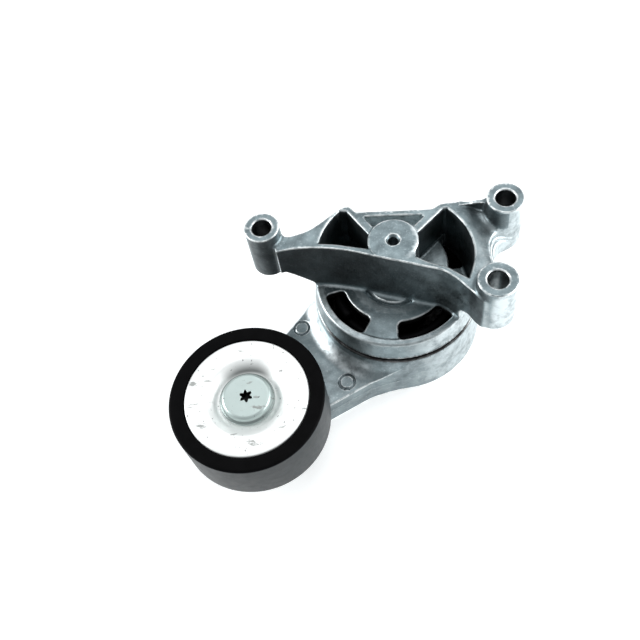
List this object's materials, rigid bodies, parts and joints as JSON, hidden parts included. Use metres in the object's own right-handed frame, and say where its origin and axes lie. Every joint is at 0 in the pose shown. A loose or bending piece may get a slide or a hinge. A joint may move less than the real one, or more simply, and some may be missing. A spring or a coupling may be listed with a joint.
{
  "type": "belt tensioner",
  "caption": "Ribbed-belt tensioner: cast bracket with mounting bosses, sprung swing arm and smooth idler pulley on a sealed ball bearing.",
  "frame": {"origin": "on the arm's pivot axis, in the plane of the pivot shaft's rear face, which is flush with the arm's back", "axes": "+Z along the pivot axis from the arm's back towards the bracket's bosses; +X from the left boss towards the right-hand bosses, along the longest extent; +Y away from the pulley"},
  "size_m": [0.1503, 0.1277, 0.07],
  "materials": {
    "cast_aluminium": "as-cast, matt with bright worn edges",
    "machined_aluminium_arm": "as-cast, matt",
    "zinc_plate": "bright zinc plate, satin",
    "bearing_steel": "ground and polished",
    "spring_steel": "dark phosphate coat",
    "black_nylon": "moulded, satin",
    "seal_rubber": "matt",
    "pale_nylon": "moulded, matt"
  },
  "bodies": {
    "bracket": {"bracket": "cast_aluminium", "pivot_shaft": "bearing_steel", "torsion_spring": "spring_steel", "friction_ring": "black_nylon", "rear_thrust_washer": "zinc_plate", "front_thrust_washer": "pale_nylon"},
    "arm": {"tensioner_arm": "machined_aluminium_arm", "damping_sleeve": "black_nylon", "rear_pivot_bush": "pale_nylon", "front_pivot_bush": "pale_nylon", "bearing_inner_ring": "bearing_steel", "shield_spacer": "zinc_plate", "front_dust_shield": "zinc_plate", "pulley_bolt": "zinc_plate"},
    "pulley": {"pulley_shell": "black_nylon", "bearing_outer_ring": "bearing_steel", "rear_bearing_seal": "seal_rubber", "front_bearing_seal": "seal_rubber"},
    "ball_set": {"bearing_cage": "pale_nylon", "bearing_ball_1": "bearing_steel", "bearing_ball_2": "bearing_steel", "bearing_ball_3": "bearing_steel", "bearing_ball_4": "bearing_steel", "bearing_ball_5": "bearing_steel", "bearing_ball_6": "bearing_steel", "bearing_ball_7": "bearing_steel", "bearing_ball_8": "bearing_steel"}
  },
  "joints": [
    {"name": "arm_swing", "type": "hinge", "parent": "bracket", "child": "arm", "pos_m": [0, 0, 0], "axis": [0, 0, 1], "range_deg": [0, 35], "stiffness_Nm_per_rad": 10, "springref_deg": -114.59},
    {"name": "pulley_spin", "type": "hinge", "parent": "arm", "child": "pulley", "pos_m": [-0.06327, -0.05736, 0.03], "axis": [0, 0, 1], "continuous": true},
    {"name": "ball_set_spin", "type": "hinge", "parent": "arm", "child": "ball_set", "pos_m": [-0.06327, -0.05736, 0.03], "axis": [0, 0, 1], "continuous": true}
  ],
  "couplings": [
    {"joint": "ball_set_spin", "follows": "pulley_spin", "ratio": 0.6175}
  ]
}
